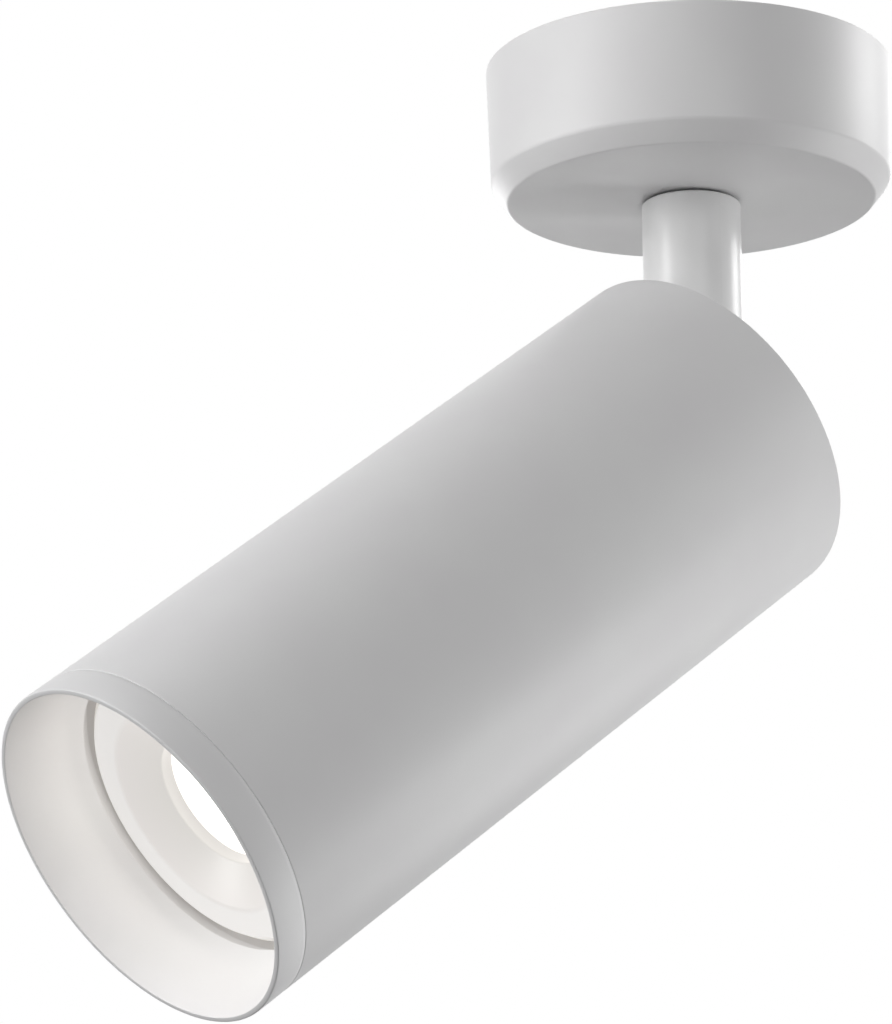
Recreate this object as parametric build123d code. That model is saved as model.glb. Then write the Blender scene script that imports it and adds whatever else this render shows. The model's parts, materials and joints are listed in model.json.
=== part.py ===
"""Surface mounted ceiling spotlight: canopy, swivel stem, tilting tube head, lamp and front ring.

Millimetres and degrees. The origin is on the ceiling at the middle of the canopy, +Z is up, so the
whole light hangs below zero. It is drawn as it is aimed: the head leans towards -Y.
"""
from build123d import *
from math import cos, radians, sin
import os

# Canopy, the round cup against the ceiling
canopy_ceiling_r = 35.2
canopy_side_r = 34.5
canopy_face_r = 31.8
canopy_bevel_depth = 20.5
canopy_depth = 24.0
canopy_wall = 2.0
canopy_floor = 2.5
canopy_shoulder_round = 1.5
canopy_face_round = 0.7
seat_r = 10.0
seat_height = 0.6
fixing_angle = 54.1
side_screw_depth = 10.0
side_boss_r = 4.0
side_boss_face = 31.5

# Ceiling bracket
strap_half_length = 30.9
strap_half_width = 8.0
strap_thickness = 1.2
tab_depth = 14.0
tab_half_width = 6.0
ceiling_hole_spacing = 44.0
ceiling_hole_r = 2.25
wing_half_width = 10.0
wing_reach = 24.0
earth_place = -12.0

# Mains terminal block on the bracket's wing
terminal_place = 16.5
terminal_half = 7.5
pole_offset = 4.0
wire_depth = -4.9
tower_offset = 4.0
block_screw_seat = -7.0

# Swivel between canopy and stem
nipple_r = 5.0
nipple_bore = 3.5
nipple_top = -12.5
nipple_bottom = -36.4
nipple_flat = 4.3
swivel_clearance = 0.08
washer_gap = 0.05
stop_tab_reach = 14.6
stop_tab_half_width = 1.5
stop_peg_r = 1.2
stop_peg_place = 13.0
stop_peg_top = -18.6

# Stem and tilt pivot
stem_r = 8.5
stem_bore = 4.5
stem_top = -24.45
pivot_drop = 66.6
tongue_half = 7.5
tongue_shoulder = 6.0
pivot_screw_r = 2.0
cheek_inner = 8.1
cheek_outer = 12.0
cheek_top_r = 5.0
cheek_foot = 8.0
pivot_head_r = 3.6
pivot_head_height = 2.2

# Head, measured along its own axis from the pivot, the front being positive
head_tilt = 53.0
tube_r = 30.0
tube_bore = 28.4
rear_rim = -1.6
rear_round = 0.4
cap_seat = 14.0
cap_r = 28.7
cap_plate_low = 5.4
cap_plate_high = 8.4
cap_opening = 14.0
cap_boss_high = 10.4
bracket_screw_offset = 20.0
earth_boss_place = -19.5
seam = 129.0
seam_gap = 0.03
seam_bevel = 0.2
front_edge = 135.0
front_edge_bore = 29.1
cone_end = 121.7
cone_end_r = 25.05
lip = 0.4
pocket_r = 26.6
pocket_depth = 122.5
spigot_r = 28.3
spigot_end = 119.5
groove_low = 123.4
groove_high = 125.2
groove_r = 27.15
seal_section_r = 0.6

# Lamp and lampholder, on the head's axis
lamp_face = 121.1
lamp_r = 24.9
lens_r = 23.4
crown_r = 17.8
dish_r = 11.45
lamp_base_face = 74.5
pin_offset = 5.0
pin_r = 1.5
pin_head_r = 2.5
pin_tip = 68.2
lamp_unlock = 22.0
holder_front = 74.3
holder_rear = 60.0
holder_screw_offset = 12.5

# Leads
lead_r = 0.9
lead_pitch = 2.0
canopy_lead_end = -12.1
earth_lead_depth = -2.6
head_lead_start = 10.7

thread_gap = 0.02

pivot = Vector(0, 0, -pivot_drop)
head_axis = Vector(0, -sin(radians(head_tilt)), -cos(radians(head_tilt)))
head_place = Plane(origin=pivot, x_dir=(1, 0, 0), z_dir=head_axis).location
strap_place = Location((0, 0, 0), (0, 0, fixing_angle))


def turned(*points):
    """A solid turned about Z from (radius, height) points."""
    outline = Plane.XZ * make_face(Polyline(*points, close=True))
    return revolve(outline, Axis.Z)


def rod(radius, low, high, at=(0, 0)):
    """A round bar along Z between two heights."""
    return Pos(at[0], at[1], (low + high) / 2) * Cylinder(radius, high - low)


def washer(outer, inner, low, high, at=(0, 0)):
    return rod(outer, low, high, at) - rod(inner, low - 1, high + 1, at)


def cross_rod(radius, low, high, at=(0, 0)):
    """A round bar along X between two places, at (y, z)."""
    bar = Rotation(0, 90, 0) * Cylinder(radius, high - low)
    return Pos((low + high) / 2, at[0], at[1]) * bar


def block(x, y, z):
    """A box given by its (low, high) pairs."""
    size = [high - low for low, high in (x, y, z)]
    middle = [(high + low) / 2 for low, high in (x, y, z)]
    return Pos(*middle) * Box(*size)


def both_sides(shape):
    """The shape and its half turn about Z."""
    return [shape, Rot(0, 0, 180) * shape]


def circles_at(shape, height, radius, slack=0.01):
    """The round edges of a turned shape at one height and radius."""
    return [
        edge for edge in shape.edges().filter_by(GeomType.CIRCLE)
        if abs(edge.center().Z - height) < slack and abs(edge.radius - radius) < slack
    ]


def round_lead(points, radii, radius=lead_r):
    """An insulated lead along straight runs joined by tangent arcs."""
    path = FilletPolyline(*points, radius=radii) if radii else Polyline(*points)
    start = Plane(origin=path @ 0, z_dir=path % 0)
    return sweep(start * Circle(radius), path=path)


def pan_head_screw(radius, head_r, head_height, length, slot_width=0.8):
    """A screw along -Z, its head resting on z = 0 and its shank below."""
    head = chamfer(circles_at(rod(head_r, 0, head_height), head_height, head_r), head_height * 0.35)
    drive = block((-head_r, head_r), (-slot_width / 2, slot_width / 2), (head_height * 0.5, head_height + 1))
    return head - drive + rod(radius, -length, 0)


def ring_terminal(hole_r, eye_r, thickness, barrel_length):
    """A crimped eye lying on z = 0, its barrel towards +X."""
    eye = rod(eye_r, 0, thickness) + block((0, eye_r + 1.5), (-1.3, 1.3), (0, thickness))
    barrel = cross_rod(1.4, eye_r + 1, eye_r + 1 + barrel_length, (0, 1.4))
    bore = cross_rod(lead_r + thread_gap, eye_r, eye_r + 2 + barrel_length, (0, 1.4))
    return eye + barrel - rod(hole_r, -1, thickness + 1) - bore


# Canopy and ceiling bracket

def canopy():
    outside = turned(
        (0, 0), (canopy_ceiling_r, 0), (canopy_side_r, -canopy_bevel_depth),
        (canopy_face_r, -canopy_depth), (0, -canopy_depth),
    )
    outside = fillet(circles_at(outside, -canopy_bevel_depth, canopy_side_r), canopy_shoulder_round)
    outside = fillet(circles_at(outside, -canopy_depth, canopy_face_r), canopy_face_round)
    floor_top = canopy_floor - canopy_depth
    cavity = turned(
        (0, 1), (canopy_ceiling_r - canopy_wall, 1), (canopy_ceiling_r - canopy_wall, 0),
        (canopy_side_r - canopy_wall, floor_top + 3), (canopy_face_r - canopy_wall, floor_top),
        (0, floor_top),
    )
    boss = cross_rod(side_boss_r, side_boss_face, canopy_side_r - 0.5, (0, -side_screw_depth))
    screw_hole = cross_rod(1.5, side_boss_face - 1, canopy_ceiling_r + 1, (0, -side_screw_depth))
    cup = outside - cavity
    for side in both_sides(boss):
        cup += strap_place * side
    for side in both_sides(screw_hole):
        cup -= strap_place * side
    cup += rod(seat_r, floor_top, floor_top + seat_height)
    cup += rod(stop_peg_r, floor_top, stop_peg_top, (0, -stop_peg_place))
    return cup - rod(nipple_r + swivel_clearance, -canopy_depth - 1, 0)


def side_grub_screws():
    body = cross_rod(1.5 - thread_gap, 30.2, 34.2, (0, -side_screw_depth))
    socket = cross_rod(0.75, 32.6, 35, (0, -side_screw_depth))
    return [strap_place * side for side in both_sides(body - socket)]


def mounting_bracket():
    strap = block((-strap_half_length, strap_half_length), (-strap_half_width, strap_half_width),
                  (-strap_thickness, 0))
    wing = block((-wing_half_width, wing_half_width), (0, wing_reach), (-strap_thickness, 0))
    plate = strap + wing
    plate = fillet(plate.edges().filter_by(Axis.Z), 1.5)
    for side in both_sides(rod(ceiling_hole_r, -3, 1, (ceiling_hole_spacing / 2, 0))):
        plate -= side
    plate -= rod(2.0, -3, 1, (earth_place, 0))
    plate -= rod(1.5, -3, 1, (0, terminal_place))
    tab = block((strap_half_length - strap_thickness, strap_half_length),
                (-tab_half_width, tab_half_width), (-tab_depth, 0))
    tab = fillet(tab.edges().filter_by(Axis.X).group_by(Axis.Z)[0], 2.5)
    tab -= cross_rod(1.55, strap_half_length - 3, strap_half_length + 1, (0, -side_screw_depth))
    for side in both_sides(tab):
        plate += side
    return strap_place * plate


# Mains terminals inside the canopy

def on_poles(shape):
    """One copy of a shape for each pole of the terminal block."""
    return [strap_place * Pos(side * pole_offset, terminal_place, 0) * shape for side in (-1, 1)]


def terminal_block():
    top = -strap_thickness
    body = block((-7.9, 7.9), (-5.5, 5.5), (block_screw_seat, top))
    for side in (-1, 1):
        barrel = block((-3.7, 3.7), (-terminal_half, terminal_half), (-8.4, top))
        towers = [rod(3.0, -12.7, -6, (0, end * tower_offset)) for end in (-1, 1)]
        body += [Pos(side * pole_offset, 0, 0) * piece for piece in [barrel] + towers]
    for side in (-1, 1):
        wire = Pos(0, 0, wire_depth) * Rot(90, 0, 0) * Cylinder(1.9, 2 * terminal_half + 2)
        wells = [rod(1.8, -14, wire_depth, (0, end * tower_offset)) for end in (-1, 1)]
        for cut in [wire] + wells:
            body -= Pos(side * pole_offset, 0, 0) * cut
    body -= rod(1.6, -10, 1) + rod(2.4, -10, block_screw_seat)
    return strap_place * Pos(0, terminal_place, 0) * body


def terminal_clamps():
    tube = Rot(90, 0, 0) * (Cylinder(1.85, 12) - Cylinder(1.2, 14))
    clamp = Pos(0, 0, wire_depth) * tube
    for end in (-1, 1):
        clamp -= rod(1.22, -9, wire_depth, (0, end * tower_offset))
    return on_poles(clamp)


def terminal_screws():
    screw = Rot(180, 0, 0) * pan_head_screw(1.2, 1.7, 1.3, 3.0, 0.6)
    tip = wire_depth - lead_r - 0.1
    return [
        piece for end in (-1, 1)
        for piece in on_poles(Pos(0, end * tower_offset, tip - 3.0) * screw)
    ]


def terminal_fixing_screw():
    screw = Rot(180, 0, 0) * pan_head_screw(1.5 - thread_gap, 2.2, 1.5, 6.9)
    return strap_place * Pos(0, terminal_place, block_screw_seat) * screw


def earth_terminal():
    eye = Rot(180, 0, 0) * ring_terminal(2.05, 3.6, 0.8, 4.0)
    return strap_place * Pos(earth_place, 0, -strap_thickness) * eye


def earth_tooth_washer():
    top = -strap_thickness - 0.8
    disc = washer(3.6, 2.1, top - 0.5, top)
    notch = block((3.0, 4.0), (-0.25, 0.25), (top - 1, top + 1))
    for step in range(12):
        disc -= Rot(0, 0, 30 * step) * notch
    return strap_place * Pos(earth_place, 0, 0) * disc


def earth_screw():
    screw = Rot(180, 0, 0) * pan_head_screw(2.0 - thread_gap, 3.3, 2.0, 2.5, 1.0)
    return strap_place * Pos(earth_place, 0, -strap_thickness - 1.3) * screw


def canopy_leads():
    """Live and neutral from the terminals, earth from the bracket, all down into the nipple."""
    drop = lead_pitch
    routes = {}
    for name, side in (("live", -1), ("neutral", 1)):
        routes[name] = [
            (side * pole_offset, terminal_place - 3.5, wire_depth),
            (side * pole_offset, 5.5, wire_depth),
            (side * drop, 0, wire_depth - 0.2),
            (side * drop, 0, canopy_lead_end),
        ]
    routes["earth"] = [
        (earth_place + 5.6, 0, earth_lead_depth),
        (0, 0, earth_lead_depth),
        (0, 0, canopy_lead_end),
    ]
    radii = {"live": [4.0, 2.2], "neutral": [4.0, 2.2], "earth": [2.8]}
    return {name: strap_place * round_lead(points, radii[name]) for name, points in routes.items()}


# Swivel: hollow nipple through the canopy floor, screwed into the stem

floor_seat = canopy_floor + seat_height - canopy_depth
upper_washer_low = floor_seat + washer_gap
stop_washer_low = upper_washer_low + 0.8
wave_washer_low = stop_washer_low + 1.0
swivel_nut_low = wave_washer_low + 0.9


def swivel_nipple():
    tube = washer(nipple_r, nipple_bore, nipple_bottom, nipple_top)
    tube = chamfer(circles_at(tube, nipple_top, nipple_r), 0.5)
    flat = block((-nipple_r, nipple_r), (nipple_flat, nipple_r + 1), (floor_seat, nipple_top + 1))
    return tube - flat


def stop_washer():
    high = stop_washer_low + 1.0
    disc = rod(9.0, stop_washer_low, high)
    disc += block((-stop_tab_half_width, stop_tab_half_width), (0, stop_tab_reach), (stop_washer_low, high))
    keyed = rod(nipple_r + thread_gap, stop_washer_low - 1, high + 1)
    keyed -= block((-6, 6), (nipple_flat + thread_gap, 6), (stop_washer_low - 2, high + 2))
    return disc - keyed


def wave_washer():
    """A spring washer pressed into a shallow dish, its rim on the stop washer."""
    low = wave_washer_low
    return turned((5.2, low + 0.4), (8.0, low), (8.0, low + 0.5), (5.2, low + 0.9))


def swivel_nut():
    height = 3.2
    hexagon = extrude(RegularPolygon(7.0, 6, major_radius=False), height)
    trim = turned((0, 0), (7.0, 0), (8.3, 0.75), (8.3, height - 0.75), (7.0, height), (0, height))
    nut = (hexagon & trim) - rod(nipple_r + thread_gap, -1, height + 1)
    return Pos(0, 0, swivel_nut_low) * nut


def thrust_washer():
    return washer(7.5, nipple_r + thread_gap, stem_top, -canopy_depth - washer_gap)


def inner_washer():
    return washer(8.6, nipple_r + thread_gap, upper_washer_low, stop_washer_low)


# Stem: turned bar, drilled through, its lower end milled to a round tongue

def stem():
    end = -pivot_drop - stem_r
    bar = rod(stem_r, end - 1, stem_top)
    bar = chamfer(circles_at(bar, stem_top, stem_r), 0.3)
    keep = block((-10, 10), (-10, 10), (-pivot_drop, stem_top + 1))
    keep += cross_rod(stem_r, -10, 10, (0, -pivot_drop))
    bar = bar & keep
    shoulder = -pivot_drop + tongue_shoulder
    for side in both_sides(block((tongue_half, 10), (-10, 10), (end - 2, shoulder))):
        bar -= side
    bar -= rod(stem_bore, end - 2, stem_top + 1)
    bar -= rod(nipple_r + thread_gap, nipple_bottom - 1, stem_top + 1)
    return bar - cross_rod(pivot_screw_r + thread_gap, -10, 10, (0, -pivot_drop))


def pivot_screws():
    """Button head screws, each through a cheek into the tongue."""
    seat = cheek_outer + 0.75
    head = turned(
        (0, 0), (pivot_head_r, 0), (pivot_head_r, 0.4 * pivot_head_height),
        (0.82 * pivot_head_r, 0.78 * pivot_head_height), (0.5 * pivot_head_r, pivot_head_height),
        (0, pivot_head_height),
    )
    head -= extrude(Pos(0, 0, 1.0) * RegularPolygon(1.25, 6, major_radius=False), 2)
    screw = Pos(seat, 0, 0) * Rot(0, 90, 0) * head + cross_rod(pivot_screw_r, 4.8, seat)
    return [Pos(0, 0, -pivot_drop) * side for side in both_sides(screw)]


def pivot_spring_washers():
    """Dished washers that press the screw heads and cheeks together."""
    dish = turned((2.1, 0.3), (4.2, 0), (4.2, 0.4), (2.1, 0.7))
    dish = Pos(cheek_outer + washer_gap, 0, 0) * Rot(0, 90, 0) * dish
    return [Pos(0, 0, -pivot_drop) * side for side in both_sides(dish)]


def pivot_friction_washers():
    disc = cross_rod(cheek_top_r - 0.2, tongue_half + washer_gap, cheek_inner)
    disc -= cross_rod(pivot_screw_r + 0.06, 0, 20)
    return [head_place * side for side in both_sides(disc)]


def stem_leads():
    """Three leads side by side down the bore of nipple and stem, ending at the tongue's mouth."""
    low = -pivot_drop - stem_r + 0.4
    return {
        name: rod(lead_r, low, nipple_top - 0.1, (place * lead_pitch, 0))
        for name, place in (("live", -1), ("earth", 0), ("neutral", 1))
    }


# Head, drawn along +Z from the pivot and then placed

def housing_tube():
    front = seam - seam_gap
    tube = turned(
        (tube_r, rear_rim), (tube_r, front - seam_bevel), (tube_r - seam_bevel, front),
        (tube_bore, front), (tube_bore, cap_seat), (cap_r + 0.1, cap_seat),
        (cap_r + 0.1, rear_rim + 0.3), (cap_r + 0.4, rear_rim),
    )
    return fillet(circles_at(tube, rear_rim, tube_r), rear_round)


def rear_cap():
    disc = rod(cap_r, cap_plate_low, cap_plate_high)
    rim = washer(cap_r, cap_r - 2.6, 3.4, cap_seat)
    cap = disc + rim
    opening = extrude(RectangleRounded(2 * cheek_inner, 2 * cap_opening, 3.0), 20)
    cap -= opening
    for side in (-1, 1):
        cap += rod(3.2, cap_plate_high, cap_boss_high, (side * bracket_screw_offset, 0))
        cap -= rod(1.5, 0, 20, (side * bracket_screw_offset, 0))
    cap += rod(3.2, cap_plate_high, cap_boss_high, (0, earth_boss_place))
    cap -= rod(1.5, 0, 20, (0, earth_boss_place))
    web = make_face(Polyline(
        (-cheek_top_r, 0), (cheek_top_r, 0), (cheek_foot, cap_plate_high),
        (-cheek_foot, cap_plate_high), close=True))
    cheek = extrude(Plane.YZ * web, cheek_outer - cheek_inner)
    cheek = Pos(cheek_inner, 0, 0) * cheek + cross_rod(cheek_top_r, cheek_inner, cheek_outer)
    cheek -= cross_rod(pivot_screw_r + 0.06, 0, 20)
    for side in both_sides(cheek):
        cap += side
    return cap


def lampholder_bracket():
    """A steel strip bent to a long U, its feet on the cap and its bridge behind the lampholder."""
    steel = 0.8
    leg_x = 24.6
    half_width = 6.0
    foot_low = cap_boss_high
    outline = block((15.5, leg_x), (-half_width, half_width), (foot_low, foot_low + steel))
    outline += block((leg_x - steel, leg_x), (-half_width, half_width), (foot_low, holder_rear))
    foot_hole = rod(1.6, foot_low - 1, foot_low + 2, (bracket_screw_offset, 0))
    strip = block((-leg_x, leg_x), (-half_width, half_width), (holder_rear - steel, holder_rear))
    for side in both_sides(outline - foot_hole):
        strip += side
    corners = [
        edge for edge in strip.edges().filter_by(Axis.Y)
        if abs(abs(edge.center().X) - leg_x) < 0.01
    ]
    strip = fillet(corners, 1.2)
    strip -= extrude(Pos(0, 0, holder_rear - 3) * SlotOverall(14, 7), 5)
    for side in both_sides(rod(1.6, holder_rear - 3, holder_rear + 3, (holder_screw_offset, 0))):
        strip -= side
    return strip


def bracket_screws():
    screw = Pos(bracket_screw_offset, 0, cap_boss_high + 0.8) * pan_head_screw(
        1.5 - thread_gap, 2.7, 1.8, 5.4)
    return both_sides(screw)


def keyhole_slots(half_width, low, high):
    """Two arcs about the axis, from the locked place of each pin to where it is freed."""
    arc = SlotArc(CenterArc((0, 0), pin_offset, 0, lamp_unlock), 2 * half_width)
    return both_sides(extrude(Pos(0, 0, low) * arc, high - low))


def lampholder_body():
    body = extrude(Pos(0, 0, holder_rear) * RectangleRounded(34, 19, 8), holder_front - holder_rear)
    body = fillet(body.edges().group_by(Axis.Z)[-1], 1.0)
    unlocked = Rot(0, 0, lamp_unlock) * rod(pin_head_r + 0.3, 71.0, 76, (pin_offset, 0))
    wire_way = rod(1.4, holder_rear - 1, 68, (pin_offset, 0))
    counterbore = rod(3.0, 70.3, 76, (holder_screw_offset, 0))
    screw_way = rod(1.6, holder_rear - 1, 76, (holder_screw_offset, 0))
    cuts = keyhole_slots(pin_r + 0.3, 71.0, 76) + keyhole_slots(pin_head_r + 0.4, 66.4, 71.5)
    for piece in (unlocked, wire_way, counterbore, screw_way):
        cuts += both_sides(piece)
    for cut in cuts:
        body -= cut
    return body


def lampholder_contacts():
    """Sprung strips on the floor of each pocket, under the pin heads."""
    strip = extrude(
        Pos(0, 0, 66.4) * SlotArc(CenterArc((0, 0), pin_offset, 0, lamp_unlock), 3.2), 0.5)
    tail = rod(1.3, 65.2, 66.6, (pin_offset, 0))
    return both_sides(strip + tail)


def lampholder_screws():
    screw = Pos(holder_screw_offset, 0, 70.3) * pan_head_screw(1.5, 2.7, 2.0, 14.3)
    return both_sides(screw)


def lampholder_nuts():
    high = holder_rear - 0.8
    nut = extrude(Pos(holder_screw_offset, 0, high - 2.4) * RegularPolygon(2.75, 6, major_radius=False), 2.4)
    nut -= rod(1.5 + thread_gap, high - 4, high + 1, (holder_screw_offset, 0))
    return both_sides(nut)


def head_earth_terminal():
    eye = Rot(0, 0, 90) * ring_terminal(1.65, 3.2, 0.8, 3.5)
    return Pos(0, earth_boss_place, cap_boss_high) * eye


def head_earth_screw():
    return Pos(0, earth_boss_place, cap_boss_high + 0.8) * pan_head_screw(1.5 - thread_gap, 2.7, 1.8, 4.0)


def head_leads():
    """From the tongue's mouth through the cap to the lampholder, and the earth to its lug."""
    away = (-sin(radians(head_tilt)), cos(radians(head_tilt)))

    def past_pivot(distance):
        return away[0] * distance, away[1] * distance

    start = past_pivot(head_lead_start)
    bend = past_pivot(head_lead_start + 4.2)
    routes = {}
    for name, side in (("live", -1), ("neutral", 1)):
        routes[name] = round_lead([
            (side * lead_pitch, *start), (side * lead_pitch, *bend), (side * 3.0, -8.0, 26.0),
            (side * pin_offset, 0, 46.0), (side * pin_offset, 0, 64.9),
        ], [3.0, 18.0, 18.0])
    barrel_height = cap_boss_high + 1.4
    routes["earth"] = round_lead([
        (0, *start), (0, start[0] - 1.2, barrel_height), (0, earth_boss_place + 5.0, barrel_height),
    ], [2.0])
    return routes


def lead_sleeves():
    """Woven glass sleeves over live and neutral, close behind the hot lampholder."""
    tube = washer(1.5, lead_r + 0.05, 48.5, holder_rear - 1.6, (pin_offset, 0))
    return both_sides(tube)


# Lamp, with a two-pin twist base

def lamp_shell():
    return turned(
        (13.6, 85.2), (15.0, 85.2), (16.2, 88.0), (18.4, 96.0), (21.6, 104.5), (24.2, 110.5),
        (lamp_r, 113.0), (lamp_r, 119.5), (lamp_r - 0.3, 119.8), (lens_r + 0.1, 119.8),
        (lens_r + 0.1, 112.6), (22.8, 110.8), (20.3, 105.0), (17.0, 96.4), (14.8, 88.3),
    )


def lamp_base():
    base = turned(
        (0, lamp_base_face), (9.8, lamp_base_face), (10.2, lamp_base_face + 0.4), (10.2, 81.5),
        (13.2, 84.0), (15.0, 85.2), (13.5, 85.2), (13.5, 88.0), (12.0, 88.0), (12.0, 85.0),
        (8.6, 82.3), (8.6, 77.2), (0, 77.2),
    )
    for side in both_sides(rod(pin_r + thread_gap, 70, 80, (pin_offset, 0))):
        base -= side
    return base


def lamp_pins():
    pin = turned(
        (0, pin_tip), (1.8, pin_tip), (pin_head_r, pin_tip + 0.6), (pin_head_r, 71.0), (pin_r, 71.0),
        (pin_r, 78.0), (0, 78.0),
    )
    return both_sides(Pos(pin_offset, 0, 0) * pin)


def lamp_heat_sink():
    """A drawn cup inside the shell, its flat top under the light source board."""
    return turned(
        (0, 107.0), (19.4, 107.0), (18.3, 104.6), (15.2, 97.0), (16.6, 96.6), (19.9, 105.1),
        (22.3, 110.6), (22.3, 111.0), (20.6, 111.0), (20.6, 109.0), (0, 109.0),
    )


def lamp_driver_board():
    return block((-7.4, 7.4), (-0.6, 0.6), (78.4, 104.0))


def lamp_driver_parts():
    capacitor = rod(3.6, 90.0, 102.0, (0.5, 4.3))
    choke = block((-4.5, 4.5), (0.7, 6.5), (80.0, 87.5))
    bridge = block((-3.0, 3.0), (-2.4, -0.7), (84.0, 89.0))
    chip = block((-2.0, 2.0), (-2.2, -0.7), (93.0, 97.5))
    return [capacitor, choke, bridge, chip]


def lamp_led_board():
    return washer(20.4, 1.2, 109.0, 110.2)


def lamp_led():
    return rod(7.0, 110.25, 111.0) + washer(8.2, 6.4, 110.25, 111.5)


def lamp_optic():
    """Front of the lamp: a flat rim, a shallow dish and a short collar round the bright middle."""
    crown = lamp_face + 0.65
    return turned(
        (lens_r - 0.4, lamp_face), (crown_r, crown), (dish_r, 118.0), (dish_r, 115.8), (12.6, 115.8),
        (12.6, 111.2), (13.6, 111.2), (13.6, 117.2), (18.0, 120.2), (22.0, 119.9), (22.0, 113.0),
        (lens_r, 113.0), (lens_r, lamp_face - 0.4),
    )


def lamp_diffuser():
    return rod(12.5, 114.8, 115.75) + rod(dish_r - 0.05, 115.7, 116.0)


# Front ring: pushed into the tube, its bore the visible white cone, undercut behind the cone's lip

def front_ring():
    return turned(
        (front_edge_bore, front_edge), (tube_r - 0.2, front_edge), (tube_r, front_edge - 0.2),
        (tube_r, seam + seam_bevel), (tube_r - seam_bevel, seam), (spigot_r, seam),
        (spigot_r, groove_high), (groove_r, groove_high), (groove_r, groove_low),
        (spigot_r, groove_low), (spigot_r, spigot_end + 0.4), (spigot_r - 0.4, spigot_end),
        (pocket_r, spigot_end), (pocket_r, pocket_depth), (cone_end_r + lip, cone_end),
        (cone_end_r, cone_end),
    )


def front_ring_seal():
    """A soft ring in the groove, eight-sided in section, that holds the front ring in the tube."""
    middle_r = groove_r + seal_section_r
    middle = (groove_low + groove_high) / 2
    corners = [radians(22.5 + 45 * step) for step in range(8)]
    return turned(*[
        (middle_r + seal_section_r * cos(corner), middle + seal_section_r * sin(corner))
        for corner in corners
    ])


# Write every piece

def save(name, shape, place=Location()):
    pieces = shape if isinstance(shape, list) else [shape]
    placed = [place * piece for piece in pieces]
    export_step(placed[0] if len(placed) == 1 else Compound(children=placed), f"parts/{name}.step")


os.makedirs("parts", exist_ok=True)

for make in (canopy, mounting_bracket, terminal_block, terminal_clamps, terminal_screws,
             terminal_fixing_screw, earth_terminal, earth_tooth_washer, earth_screw,
             swivel_nipple, stop_washer, wave_washer, swivel_nut, thrust_washer, inner_washer,
             stem, pivot_screws, pivot_spring_washers, pivot_friction_washers):
    save(make.__name__, make())
save("canopy_side_screws", side_grub_screws())

for make in (housing_tube, rear_cap, lampholder_bracket, bracket_screws, lampholder_body,
             lampholder_contacts, lampholder_screws, lampholder_nuts, head_earth_terminal,
             head_earth_screw, lead_sleeves, lamp_shell, lamp_base, lamp_pins, lamp_heat_sink,
             lamp_driver_board, lamp_driver_parts, lamp_led_board, lamp_led, lamp_optic,
             lamp_diffuser, front_ring, front_ring_seal):
    save(make.__name__, make(), head_place)

for group, leads, place in (("canopy", canopy_leads(), Location()),
                            ("stem", stem_leads(), Location()),
                            ("head", head_leads(), head_place)):
    for name, lead in leads.items():
        save(f"{group}_{name}_lead", lead, place)
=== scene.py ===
import bpy
import bmesh
import json
import math
from mathutils import Matrix, Vector


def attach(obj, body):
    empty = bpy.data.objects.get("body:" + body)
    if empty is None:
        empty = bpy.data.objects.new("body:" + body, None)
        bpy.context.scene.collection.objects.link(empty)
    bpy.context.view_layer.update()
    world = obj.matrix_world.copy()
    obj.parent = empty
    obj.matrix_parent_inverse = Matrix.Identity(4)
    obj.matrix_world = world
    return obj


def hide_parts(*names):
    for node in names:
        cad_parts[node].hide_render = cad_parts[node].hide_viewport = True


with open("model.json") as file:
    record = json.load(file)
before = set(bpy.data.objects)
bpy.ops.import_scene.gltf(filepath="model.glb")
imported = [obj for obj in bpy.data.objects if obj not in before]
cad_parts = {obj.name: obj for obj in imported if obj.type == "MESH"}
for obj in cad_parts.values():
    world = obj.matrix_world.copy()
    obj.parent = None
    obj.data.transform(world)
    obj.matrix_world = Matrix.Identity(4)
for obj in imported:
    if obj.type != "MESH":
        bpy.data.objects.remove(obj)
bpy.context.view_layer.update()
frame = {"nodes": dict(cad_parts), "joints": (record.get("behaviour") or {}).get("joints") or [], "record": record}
mm = 0.001
joints = {joint["name"]: joint for joint in frame["joints"]}
pivot = Vector(joints["tilt"]["pos_m"])
headAxis = Vector(joints["ring_pull"]["axis"]).normalized()


# camera, at the photograph's place

camera = {
    "place": (597.65, -432.86, -265.67),  # mm from the middle of the canopy
    "heading": 57.415,  # degrees left of straight ahead along +Y
    "pitch": 14.234,  # looking up
    "roll": -0.547,
    "lens": 157.27,  # on a 36 mm sensor along the tall side
}


def addCamera():
    data = bpy.data.cameras.new("camera")
    data.sensor_fit = "AUTO"
    data.sensor_width = 36
    data.lens = camera["lens"]
    data.clip_start = 0.01
    data.clip_end = 20
    looker = bpy.data.objects.new("camera", data)
    bpy.context.scene.collection.objects.link(looker)
    heading = Matrix.Rotation(math.radians(camera["heading"]), 4, "Z")
    pitch = Matrix.Rotation(math.radians(90 + camera["pitch"]), 4, "X")
    roll = Matrix.Rotation(math.radians(camera["roll"]), 4, "Z")
    looker.matrix_world = Matrix.Translation(Vector(camera["place"]) * mm) @ heading @ pitch @ roll
    bpy.context.scene.camera = looker


addCamera()


# colours and nodes

def linear(hexColor):  # sRGB hex to the linear values that Blender mixes
    channels = [int(hexColor[i:i + 2], 16) / 255 for i in (1, 3, 5)]
    return [c / 12.92 if c <= 0.04045 else ((c + 0.055) / 1.055) ** 2.4 for c in channels] + [1.0]


# settings go on the node, values on its sockets, links are socket name to output
def addNode(tree, kind, values=None, links=None, **settings):
    node = tree.nodes.new(kind)
    for key, value in settings.items():
        setattr(node, key, value)
    for key, value in (values or {}).items():
        node.inputs[key].default_value = value
    for key, output in (links or {}).items():
        tree.links.new(output, node.inputs[key])
    return node


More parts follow.
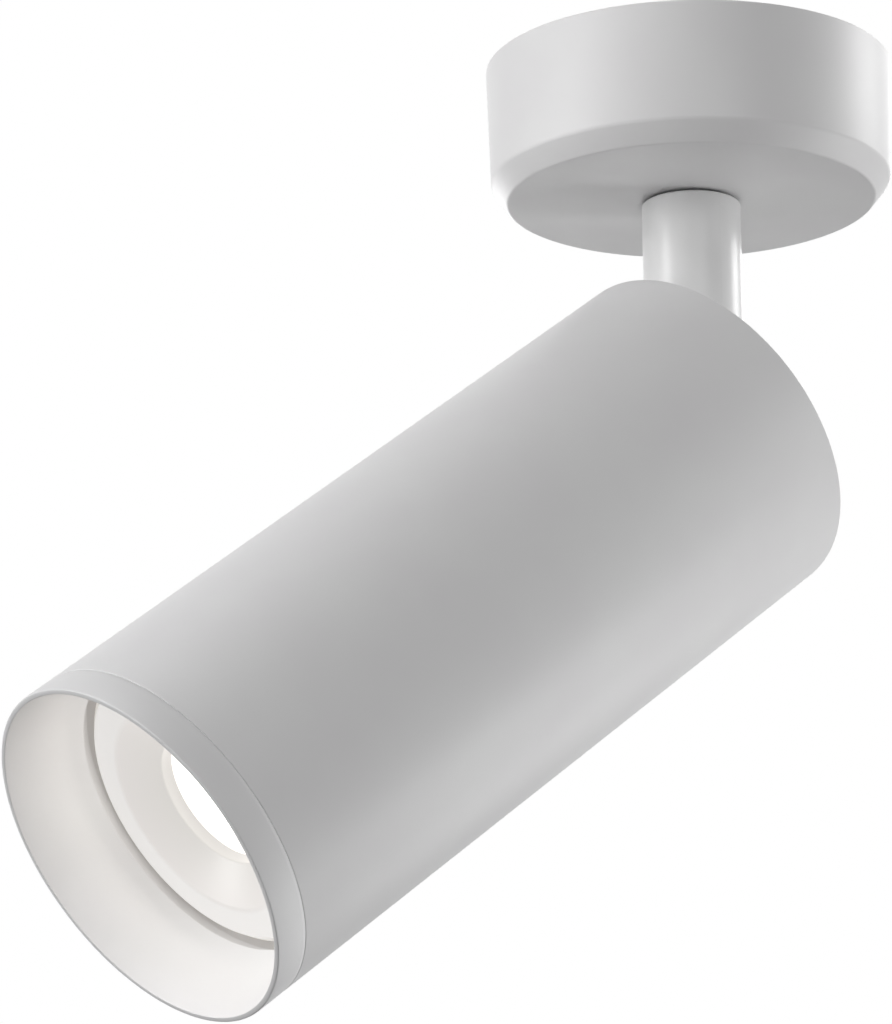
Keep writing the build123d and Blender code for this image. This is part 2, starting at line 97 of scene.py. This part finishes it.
def newMaterial(name, values):
    material = bpy.data.materials.new(name)
    material.use_nodes = True
    tree = material.node_tree
    shader = tree.nodes["Principled BSDF"]
    for key, value in values.items():
        shader.inputs[key].default_value = value
    coords = addNode(tree, "ShaderNodeTexCoord").outputs["Object"]  # metres
    return material, tree, shader, coords


# a soft change of base colour between two hex colours, in patches about grain mm across
def mottle(tree, shader, coords, grain, low, high, detail=2.0):
    noise = addNode(tree, "ShaderNodeTexNoise", {"Scale": 1 / (grain * mm), "Detail": detail},
                    {"Vector": coords})
    ramp = addNode(tree, "ShaderNodeValToRGB", links={"Fac": noise.outputs["Fac"]})
    ramp.color_ramp.elements[0].position = 0.3
    ramp.color_ramp.elements[0].color = linear(low)
    ramp.color_ramp.elements[1].position = 0.7
    ramp.color_ramp.elements[1].color = linear(high)
    tree.links.new(ramp.outputs["Color"], shader.inputs["Base Color"])


# surface relief about grain mm across and height mm deep
def bumpy(tree, shader, coords, grain, height):
    noise = addNode(tree, "ShaderNodeTexNoise", {"Scale": 1 / (grain * mm), "Detail": 2.0},
                    {"Vector": coords})
    bump = addNode(tree, "ShaderNodeBump", {"Strength": 1.0, "Distance": height * mm},
                   {"Height": noise.outputs["Fac"]})
    tree.links.new(bump.outputs["Normal"], shader.inputs["Normal"])


def powderCoat():
    # polyester powder coat, matt white, baked on aluminium: even and slightly pebbled, with a dull sheen
    material, tree, shader, coords = newMaterial("powderCoat", {"Roughness": 0.46, "IOR": 1.5})
    mottle(tree, shader, coords, 18, "#E6E5E6", "#E9E9E9")
    bumpy(tree, shader, coords, 0.45, 0.004)
    return material


def satinCoat():
    # the same white on the turned stem, sprayed wet and smoother, so that the lamps draw soft bright lines
    material, tree, shader, coords = newMaterial("satinCoat", {"Roughness": 0.3, "IOR": 1.5})
    mottle(tree, shader, coords, 18, "#E3E3E3", "#E6E6E6")
    bumpy(tree, shader, coords, 0.6, 0.002)
    return material


def zincPlate():
    # pressed steel, clear zinc plate: grey, faintly streaked by rolling
    material, tree, shader, coords = newMaterial("zincPlate", {"Metallic": 1.0, "Roughness": 0.38})
    mottle(tree, shader, coords, 3, "#A9ACAF", "#C2C4C6", 4.0)
    bumpy(tree, shader, coords, 0.3, 0.003)
    return material


def brightSteel():
    # zinc plated screws: bright and smooth
    material, tree, shader, coords = newMaterial("brightSteel", {"Metallic": 1.0, "Roughness": 0.27})
    mottle(tree, shader, coords, 1.5, "#B9BBBD", "#CBCCCE")
    return material


def plainBrass():
    # bare turned brass
    material, tree, shader, coords = newMaterial("plainBrass", {"Metallic": 1.0, "Roughness": 0.33})
    mottle(tree, shader, coords, 2, "#B08D4A", "#C9A865")
    return material


def tinnedCopper():
    # tin over copper: pale and a little cloudy
    material, tree, shader, coords = newMaterial("tinnedCopper", {"Metallic": 1.0, "Roughness": 0.42})
    mottle(tree, shader, coords, 1, "#B7B2A8", "#CDC9C0")
    return material


def mouldedNylon(name, low, high):
    # moulded polyamide: waxy, with a fine spark-eroded texture
    material, tree, shader, coords = newMaterial(name, {"Roughness": 0.48, "IOR": 1.53})
    mottle(tree, shader, coords, 4, low, high)
    bumpy(tree, shader, coords, 0.25, 0.004)
    return material


def steatite():
    # pressed and fired steatite ceramic: cream, dense and slightly grainy
    material, tree, shader, coords = newMaterial("steatite", {"Roughness": 0.62, "IOR": 1.58})
    mottle(tree, shader, coords, 0.8, "#DDD5C3", "#EBE4D4", 4.0)
    bumpy(tree, shader, coords, 0.3, 0.01)
    return material


def drawnAluminium():
    # bare drawn aluminium
    material, tree, shader, coords = newMaterial("drawnAluminium", {"Metallic": 1.0, "Roughness": 0.36})
    mottle(tree, shader, coords, 2, "#C6C7C9", "#D6D7D9")
    return material


lampGlow = {
    "span": 25.0,  # mm from the head's axis that the ramps cover
    "optic": {  # mm from the axis: base colour, painted glow
        11.6: ("#565553", "#CAC7C3"),
        17.4: ("#5C5B59", "#D1CDCA"),
        18.6: ("#6A6967", "#D6D4D2"),
    },
    "diffuserColor": "#FFF9F2",
    "diffuserMiddle": (5.0, 5.0),  # mm from the axis, strength
    "diffuserEdge": (9.5, 1.1),
    # a painted glow on the lamp's shell, lightening the shaded gap round the lens
    "shellPaintedGlowColor": "#F4EFE8",
    "shellPaintedGlowStrength": 0.38,
}


def lampPlasticPaintedGlow():
    # glossy white polybutylene, moulded; it carries a painted glow that lightens the shaded gap round the lens
    material, tree, shader, coords = newMaterial("lampPlasticPaintedGlow", {
        "Roughness": 0.32, "IOR": 1.55, "Emission Color": linear(lampGlow["shellPaintedGlowColor"]),
        "Emission Strength": lampGlow["shellPaintedGlowStrength"]})
    mottle(tree, shader, coords, 9, "#E2E1DE", "#E7E6E4")
    bumpy(tree, shader, coords, 0.8, 0.003)
    return material


def axisDistance(tree, coords):  # from the head's axis, as a share of the span
    fromPivot = addNode(tree, "ShaderNodeVectorMath", {1: pivot}, {0: coords}, operation="SUBTRACT")
    across = addNode(tree, "ShaderNodeVectorMath", {1: headAxis}, {0: fromPivot.outputs[0]},
                     operation="CROSS_PRODUCT")
    radius = addNode(tree, "ShaderNodeVectorMath", links={0: across.outputs[0]}, operation="LENGTH")
    share = addNode(tree, "ShaderNodeMath", {1: 1 / (lampGlow["span"] * mm)},
                    {0: radius.outputs["Value"]}, operation="MULTIPLY")
    return share.outputs[0]


def milkyOpticPaintedGlow():
    # moulded polycarbonate with a white filler on a dark base; its glow is painted light, set by distance from the
    # axis, dimmer over the dish and stronger in the rim, standing in for the lens's lit and shaded zones
    material, tree, shader, coords = newMaterial("milkyOpticPaintedGlow", {
        "Roughness": 0.45, "IOR": 1.585, "Emission Strength": 1.0})
    share = axisDistance(tree, coords)
    for column, socket in enumerate(("Base Color", "Emission Color")):
        ramp = addNode(tree, "ShaderNodeValToRGB", links={"Fac": share})
        stops = ramp.color_ramp.elements
        stops.new(0.5)
        for stop, (place, colors) in zip(stops, lampGlow["optic"].items()):
            stop.position = place / lampGlow["span"]
            stop.color = linear(colors[column])
        tree.links.new(ramp.outputs["Color"], shader.inputs[socket])
    bumpy(tree, shader, coords, 0.6, 0.003)
    return material


def opalDiffuser():
    # opal acrylic with the lit light source close behind its middle
    material, tree, shader, coords = newMaterial("opalDiffuser", {
        "Roughness": 0.3, "Emission Color": linear(lampGlow["diffuserColor"])})
    mottle(tree, shader, coords, 3, "#F4F3F1", "#F8F8F6")
    (middle, bright), (edge, dim) = lampGlow["diffuserMiddle"], lampGlow["diffuserEdge"]
    strength = addNode(tree, "ShaderNodeMapRange", {
        "From Min": middle / lampGlow["span"], "From Max": edge / lampGlow["span"],
        "To Min": bright, "To Max": dim}, {"Value": axisDistance(tree, coords)},
        interpolation_type="SMOOTHSTEP")
    tree.links.new(strength.outputs[0], shader.inputs["Emission Strength"])
    return material


def phosphor():
    # yellow phosphor in clear silicone
    material, tree, shader, coords = newMaterial("phosphor", {"Roughness": 0.4, "IOR": 1.41})
    mottle(tree, shader, coords, 0.4, "#E6CE4E", "#F0DB68")
    return material


def epoxyBoard():
    # glass epoxy under green solder resist, the weave just showing
    material, tree, shader, coords = newMaterial("epoxyBoard", {"Roughness": 0.35, "IOR": 1.5})
    mottle(tree, shader, coords, 0.7, "#1F5A33", "#2B6B3F")
    return material


def whiteBoard():
    # white solder resist on an aluminium board
    material, tree, shader, coords = newMaterial("whiteBoard", {"Roughness": 0.4, "IOR": 1.5})
    mottle(tree, shader, coords, 1.5, "#E8E8E6", "#F0F0EE")
    return material


def blackPlastic():
    # moulded black epoxy cases
    material, tree, shader, coords = newMaterial("blackPlastic", {"Roughness": 0.5, "IOR": 1.55})
    mottle(tree, shader, coords, 0.5, "#141416", "#1D1D20")
    return material


def silicone(name, low, high):
    # silicone rubber: soft, dull, picks up a little dust
    material, tree, shader, coords = newMaterial(name, {"Roughness": 0.55, "IOR": 1.41})
    mottle(tree, shader, coords, 1.2, low, high, 3.0)
    bumpy(tree, shader, coords, 0.3, 0.004)
    return material


def earthInsulation():
    # green silicone with a yellow stripe that winds round the lead
    material, tree, shader, coords = newMaterial("earthInsulation", {"Roughness": 0.5, "IOR": 1.41})
    stripes = addNode(tree, "ShaderNodeTexWave", {"Scale": 1 / (9 * mm), "Distortion": 0.6},
                      {"Vector": coords}, bands_direction="DIAGONAL")
    ramp = addNode(tree, "ShaderNodeValToRGB", links={"Fac": stripes.outputs["Fac"]})
    ramp.color_ramp.interpolation = "CONSTANT"
    ramp.color_ramp.elements[0].color = linear("#3F8F3A")
    ramp.color_ramp.elements[1].position = 0.62
    ramp.color_ramp.elements[1].color = linear("#D9CE3C")
    tree.links.new(ramp.outputs["Color"], shader.inputs["Base Color"])
    return material


def wovenGlass():
    # woven glass sleeving: off-white, the braid about 0.6 mm
    material, tree, shader, coords = newMaterial("wovenGlass", {"Roughness": 0.8, "Sheen Weight": 0.2})
    mottle(tree, shader, coords, 0.6, "#CFCBBF", "#E6E3D9")
    bumpy(tree, shader, coords, 0.6, 0.06)
    return material


finishes = {
    "white_paint": powderCoat(),
    "zinc_steel": zincPlate(),
    "bright_steel": brightSteel(),
    "brass": plainBrass(),
    "tinned_copper": tinnedCopper(),
    "white_nylon": mouldedNylon("whiteNylon", "#DEDCD5", "#E6E4DE"),
    "grey_nylon": mouldedNylon("greyNylon", "#57585A", "#606163"),
    "steatite": steatite(),
    "bare_aluminium": drawnAluminium(),
    "lamp_white": lampPlasticPaintedGlow(),
    "lamp_optic": milkyOpticPaintedGlow(),
    "lamp_diffuser": opalDiffuser(),
    "led_phosphor": phosphor(),
    "circuit_board": epoxyBoard(),
    "board_white": whiteBoard(),
    "black_plastic": blackPlastic(),
    "black_rubber": silicone("blackSeal", "#101011", "#18181A"),
    "brown_silicone": silicone("brownInsulation", "#4A2A18", "#57331E"),
    "blue_silicone": silicone("blueInsulation", "#1F4585", "#274F93"),
    "green_yellow_silicone": earthInsulation(),
    "glass_sleeve": wovenGlass(),
}


def dressParts():
    for part in frame["record"]["subparts"]:
        mesh = frame["nodes"][part["node"]].data
        mesh.materials.clear()
        mesh.materials.append(finishes[part["material_slot"]])
    frame["nodes"]["stem"].data.materials[0] = satinCoat()


dressParts()
print("materials:", len(finishes))


# turned pieces

headPlace = Matrix.Translation(pivot) @ Matrix((
    (1, 0, 0), headAxis.cross(Vector((1, 0, 0))), headAxis)).transposed().to_4x4()


facets = {"large": 256, "optic": 192, "diffuser": 96, "rod": 48, "smallRound": 3, "bigRound": 6}
sharpFrom = 28  # degrees between faces


# spins a section round Z; its corners are (radius, height) in mm, or (radius, height, round)
def turnedShell(section, steps, closed=True):
    shell = bmesh.new()
    corners = [shell.verts.new((corner[0] * mm, 0, corner[1] * mm)) for corner in section]
    for start, end in zip(corners, corners[1:] + corners[:1] if closed else corners[1:]):
        shell.edges.new((start, end))
    for vertex, corner in zip(corners, section):
        if len(corner) < 3:
            continue
        along = [(edge.other_vert(vertex).co - vertex.co).normalized() for edge in vertex.link_edges]
        halfTurn = (math.pi - along[0].angle(along[1])) / 2
        segments = facets["bigRound"] if corner[2] > 1 else facets["smallRound"]
        bmesh.ops.bevel(shell, geom=[vertex], offset=corner[2] * mm * math.tan(halfTurn),
                        offset_type="OFFSET", segments=segments, profile=0.5, affect="VERTICES",
                        material=-1)
    bmesh.ops.spin(shell, geom=shell.verts[:] + shell.edges[:], cent=(0, 0, 0), axis=(0, 0, 1),
                   angle=2 * math.pi, steps=steps, use_merge=True)
    bmesh.ops.remove_doubles(shell, verts=shell.verts[:], dist=0.0005 * mm)
    bmesh.ops.recalc_face_normals(shell, faces=shell.faces[:])
    return shell


def smoothPiece(piece):
    for polygon in piece.data.polygons:
        polygon.use_smooth = True
    piece.data.set_sharp_from_angle(angle=math.radians(sharpFrom))


# makes the mesh a piece of the object that stands for a CAD part
def finishPiece(name, shell, place, body, node, slot):
    bmesh.ops.transform(shell, matrix=place, verts=shell.verts[:])
    mesh = bpy.data.meshes.new(name)
    shell.to_mesh(mesh)
    shell.free()
    mesh.materials.append(finishes[slot])
    piece = bpy.data.objects.new(name, mesh)
    bpy.context.scene.collection.objects.link(piece)
    smoothPiece(piece)
    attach(piece, body)
    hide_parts(node)
    return piece


def plainRod(radius, low, high, place):
    rod = bmesh.new()
    bmesh.ops.create_cone(rod, cap_ends=True, segments=facets["rod"], radius1=radius * mm,
                          radius2=radius * mm, depth=(high - low) * mm,
                          matrix=place @ Matrix.Translation((0, 0, (low + high) / 2 * mm)))
    return rod


# joins the rods to the piece or cuts them out of it, in the piece's own mesh
def cutPiece(piece, rods, operation):
    for rod in rods:
        mesh = bpy.data.meshes.new("rod")
        rod.to_mesh(mesh)
        rod.free()
        helper = bpy.data.objects.new("rod", mesh)
        bpy.context.scene.collection.objects.link(helper)
        boolean = piece.modifiers.new("cut", "BOOLEAN")
        boolean.operation = operation
        boolean.solver = "EXACT"
        boolean.object = helper
        evaluated = piece.evaluated_get(bpy.context.evaluated_depsgraph_get())
        result = bpy.data.meshes.new_from_object(evaluated)
        piece.modifiers.clear()
        piece.data = result
        bpy.data.objects.remove(helper)
    smoothPiece(piece)


tube = {  # mm from the head's axis, and along it from the tilt pivot
    "outer": 30.0, "bore": 28.4, "capBore": 28.8, "capSeat": 14.0, "rear": -1.6, "front": 128.99,
    "rearRound": 0.4, "rearBoreRound": 0.3, "seamRound": 0.28, "frontBoreRound": 0.05,
}


def housingTube():
    section = [
        (tube["outer"], tube["rear"], tube["rearRound"]),
        (tube["outer"], tube["front"], tube["seamRound"]),
        (tube["bore"], tube["front"], tube["frontBoreRound"]), (tube["bore"], tube["capSeat"]),
        (tube["capBore"], tube["capSeat"]), (tube["capBore"], tube["rear"], tube["rearBoreRound"]),
    ]
    return finishPiece("tubeShell", turnedShell(section, facets["large"]), headPlace, "head",
                       "housing_tube", "white_paint")


ring = {  # mm, as for the tube
    "outer": 30.0, "seam": 129.0, "front": 135.0, "mouth": 29.1, "spigot": 28.3, "spigotEnd": 119.5,
    "coneEnd": 121.7, "coneBore": 25.05, "lip": 0.4, "groove": (123.4, 125.2, 27.15),
    "pocket": 26.6, "pocketDepth": 122.5, "bevel": 129.6, "seamEdge": 29.93,
    "mouthRound": 0.15, "rimRound": 0.32, "bevelRound": 0.4, "seamRound": 0.05, "spigotRound": 0.4,
    "lipRound": 0.1,
}


def frontRing():
    grooveLow, grooveHigh, grooveFloor = ring["groove"]
    section = [
        (ring["mouth"], ring["front"], ring["mouthRound"]), (ring["outer"], ring["front"], ring["rimRound"]),
        (ring["outer"], ring["bevel"], ring["bevelRound"]),
        (ring["seamEdge"], ring["seam"], ring["seamRound"]), (ring["spigot"], ring["seam"]),
        (ring["spigot"], grooveHigh), (grooveFloor, grooveHigh), (grooveFloor, grooveLow),
        (ring["spigot"], grooveLow), (ring["spigot"], ring["spigotEnd"], ring["spigotRound"]),
        (ring["pocket"], ring["spigotEnd"]), (ring["pocket"], ring["pocketDepth"]),
        (ring["coneBore"] + ring["lip"], ring["coneEnd"]),
        (ring["coneBore"], ring["coneEnd"], ring["lipRound"]),
    ]
    return finishPiece("bezelRing", turnedShell(section, facets["large"]), headPlace, "front_ring",
                       "front_ring", "white_paint")


canopyShape = {  # mm from the stem's axis, and up from the ceiling
    "ceiling": 35.19, "side": 34.5, "face": 31.8, "bevel": -20.5, "underside": -24.0, "wall": 2.0,
    "floor": -21.5, "seat": 10.0, "seatTop": -20.9, "hole": 5.08, "thickening": 3.0,
    "edgeRound": 0.25, "shoulderRound": 1.5, "faceRound": 0.7, "holeRound": 0.15, "seatRound": 0.3,
    "floorRound": 1.5,
    "screwTurn": 54.1, "screwDepth": 10.0,  # degrees round the axis, mm below the ceiling
    "boss": (4.0, 31.5, 33.6), "screwHole": (1.5, 30.0, 37.0),  # radius, and mm out from the axis
    "peg": (1.2, -22.5, -18.6), "pegPlace": -13.0,
}


def canopyCup():
    shape = canopyShape
    section = [
        (shape["ceiling"], 0, shape["edgeRound"]), (shape["side"], shape["bevel"], shape["shoulderRound"]),
        (shape["face"], shape["underside"], shape["faceRound"]),
        (shape["hole"], shape["underside"], shape["holeRound"]),
        (shape["hole"], shape["seatTop"], shape["holeRound"]),
        (shape["seat"], shape["seatTop"], shape["seatRound"]), (shape["seat"], shape["floor"]),
        (shape["face"] - shape["wall"], shape["floor"], shape["floorRound"]),
        (shape["side"] - shape["wall"], shape["floor"] + shape["thickening"]),
        (shape["ceiling"] - shape["wall"], 0, shape["edgeRound"]),
    ]
    cup = finishPiece("canopyCup", turnedShell(section, facets["large"]), Matrix.Identity(4),
                      "ceiling_mount", "canopy", "white_paint")
    outward = [Matrix.Rotation(math.radians(shape["screwTurn"] + turn), 4, "Z")
               @ Matrix.Translation((0, 0, -shape["screwDepth"] * mm)) @ Matrix.Rotation(math.pi / 2, 4, "Y")
               for turn in (0, 180)]
    pegPlace = Matrix.Translation((0, shape["pegPlace"] * mm, 0))
    added = [plainRod(*shape["boss"], place) for place in outward] + [plainRod(*shape["peg"], pegPlace)]
    cutPiece(cup, added, "UNION")
    cutPiece(cup, [plainRod(*shape["screwHole"], place) for place in outward], "DIFFERENCE")
    return cup


optic = {  # mm, as for the tube
    "rim": 23.48, "face": 121.1, "crown": 17.8, "crownFace": 121.75, "dish": 11.45, "dishFloor": 118.0,
    "collarEnd": 115.8, "collarOuter": 12.6, "legEnd": 111.2, "legOuter": 13.6, "legTop": 117.2,
    "crownBack": (18.0, 120.2), "rimBack": (22.0, 119.9), "back": 113.0,
    "rimRound": 0.4, "crownRound": 1.2, "dishRound": 0.35,
}


def lampOptic():
    rimBack, rimBackHeight = optic["rimBack"]
    section = [
        (optic["rim"], optic["face"], optic["rimRound"]),
        (optic["crown"], optic["crownFace"], optic["crownRound"]),
        (optic["dish"], optic["dishFloor"], optic["dishRound"]), (optic["dish"], optic["collarEnd"]),
        (optic["collarOuter"], optic["collarEnd"]), (optic["collarOuter"], optic["legEnd"]),
        (optic["legOuter"], optic["legEnd"]), (optic["legOuter"], optic["legTop"]), optic["crownBack"],
        (rimBack, rimBackHeight), (rimBack, optic["back"]), (optic["rim"], optic["back"]),
    ]
    return finishPiece("lampFace", turnedShell(section, facets["optic"]), headPlace, "lamp",
                       "lamp_optic", "lamp_optic")


diffuser = {"face": 116.0, "disc": 11.4, "step": 115.75, "flange": 12.5, "back": 114.8, "edgeRound": 0.2}


def lampMiddle():
    section = [
        (0, diffuser["face"]), (diffuser["disc"], diffuser["face"], diffuser["edgeRound"]),
        (diffuser["disc"], diffuser["step"]), (diffuser["flange"], diffuser["step"]),
        (diffuser["flange"], diffuser["back"]), (0, diffuser["back"]),
    ]
    return finishPiece("lampMiddle", turnedShell(section, facets["diffuser"], closed=False), headPlace,
                       "lamp", "lamp_diffuser", "lamp_diffuser")


housingTube()
litRing = frontRing()
canopyCup()
lampOptic()
lampMiddle()
print("turned pieces done")


# floor, light and background

studio = {
    "middle": (0, -45, -85),  # mm, what the lamps aim at
    "cameraAzimuth": -35.9,  # degrees from +X to the camera
    "floor": -2400,  # mm, below the ceiling
    "floorHalf": 4.0,  # m, half of the floor's side
    "floorGlow": ("#F2F2F2", 0.75),  # keeps the floor pale where no lamp reaches it
    "fill": 0.06,
}
lamps = {  # azimuth to the right of the camera, elevation, distance m, width m, height m, watts
    "leftPanel": (-81, 0, 1.1, 0.40, 0.40, 4.8),
    "leftMiddle": (-62, 20, 1.1, 0.36, 0.36, 2.9),
    "leftHigh": (-60, 50, 1.1, 0.36, 0.36, 2.1),
    "rightHigh": (118, 25, 1.1, 0.40, 0.36, 3.6),
    "rightLow": (101, -22, 1.1, 0.36, 0.40, 3.0),
    "rightBackLow": (133, -25, 1.1, 0.40, 0.36, 1.7),
    "backRight": (162, 25, 1.1, 0.36, 0.36, 1.3),
    "backLeft": (-157, 0, 1.1, 0.36, 0.36, 2.2),
    "frontPanel": (21, 3, 1.4, 0.60, 0.60, 6.0),
}


def addLamps():
    middle = Vector(studio["middle"]) * mm
    for name, (azimuth, elevation, distance, width, height, watts) in lamps.items():
        data = bpy.data.lights.new(name, "AREA")
        data.shape = "RECTANGLE"
        data.size = width
        data.size_y = height
        data.energy = watts
        lamp = bpy.data.objects.new(name, data)
        bpy.context.scene.collection.objects.link(lamp)
        turn, rise = math.radians(studio["cameraAzimuth"] + azimuth), math.radians(elevation)
        away = Vector((math.cos(turn) * math.cos(rise), math.sin(turn) * math.cos(rise), math.sin(rise)))
        lamp.location = middle + away * distance
        lamp.rotation_mode = "QUATERNION"
        lamp.rotation_quaternion = (-away).to_track_quat("-Z", "Y")
        lamp.visible_camera = False


coneFill = {
    "radius": 5.0, "place": 126.5,  # mm, its place along the head's axis
    "offset": 7.0, "toward": (-0.729, -0.412, 0.549),  # mm off the axis, to the cone's darker side
    "watts": 0.0058, "color": "#FFFAF3",
}


# part of the fitting's own light, on the cone only; it moves with the lamp
def addConeFill(cone):
    light = bpy.data.lights.new("coneFill", "POINT")
    light.shadow_soft_size = coneFill["radius"] * mm
    light.energy = coneFill["watts"]
    light.color = linear(coneFill["color"])[:3]
    item = bpy.data.objects.new("coneFill", light)
    bpy.context.collection.objects.link(item)
    item.visible_camera = False
    item.visible_glossy = False
    offset = Vector(coneFill["toward"]) * coneFill["offset"]
    item.location = pivot + (headAxis * coneFill["place"] + offset) * mm
    receivers = bpy.data.collections.new("litByConeFill")
    receivers.objects.link(cone)
    item.light_linking.receiver_collection = receivers
    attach(item, "lamp")


# white to the camera, to gloss and through glass; a low even fill for the rest
def addWorld():
    world = bpy.data.worlds.new("studio")
    world.use_nodes = True
    tree = world.node_tree
    tree.nodes.clear()
    path = addNode(tree, "ShaderNodeLightPath").outputs
    seen = addNode(tree, "ShaderNodeMath", operation="MAXIMUM")
    tree.links.new(path["Is Camera Ray"], seen.inputs[0])
    tree.links.new(path["Is Transmission Ray"], seen.inputs[1])
    shown = addNode(tree, "ShaderNodeMath", operation="MAXIMUM")
    tree.links.new(seen.outputs[0], shown.inputs[0])
    tree.links.new(path["Is Glossy Ray"], shown.inputs[1])
    fill = addNode(tree, "ShaderNodeBackground", {"Color": linear("#FFFFFF"), "Strength": studio["fill"]})
    white = addNode(tree, "ShaderNodeBackground", {"Color": linear("#FFFFFF"), "Strength": 1.0})
    mix = addNode(tree, "ShaderNodeMixShader", links={"Fac": shown.outputs[0]})
    tree.links.new(fill.outputs[0], mix.inputs[1])
    tree.links.new(white.outputs[0], mix.inputs[2])
    addNode(tree, "ShaderNodeOutputWorld", links={"Surface": mix.outputs[0]})
    bpy.context.scene.world = world


def addFloor():
    floor = bmesh.new()
    bmesh.ops.create_grid(floor, x_segments=1, y_segments=1, size=studio["floorHalf"])
    bmesh.ops.translate(floor, vec=(0, 0, studio["floor"] * mm), verts=floor.verts[:])
    mesh = bpy.data.meshes.new("floor")
    floor.to_mesh(mesh)
    floor.free()
    color, strength = studio["floorGlow"]
    material, tree, shader, coords = newMaterial("palePaper", {
        "Roughness": 0.9, "Emission Color": linear(color), "Emission Strength": strength})
    mottle(tree, shader, coords, 400, "#F1F1F1", "#F4F4F4")
    mesh.materials.append(material)
    plane = bpy.data.objects.new("floor", mesh)
    bpy.context.scene.collection.objects.link(plane)
    plane.visible_diffuse = False
    plane.visible_glossy = False


addLamps()
addConeFill(litRing)
addWorld()
addFloor()
bpy.context.scene.view_settings.view_transform = "Standard"
print("studio done")
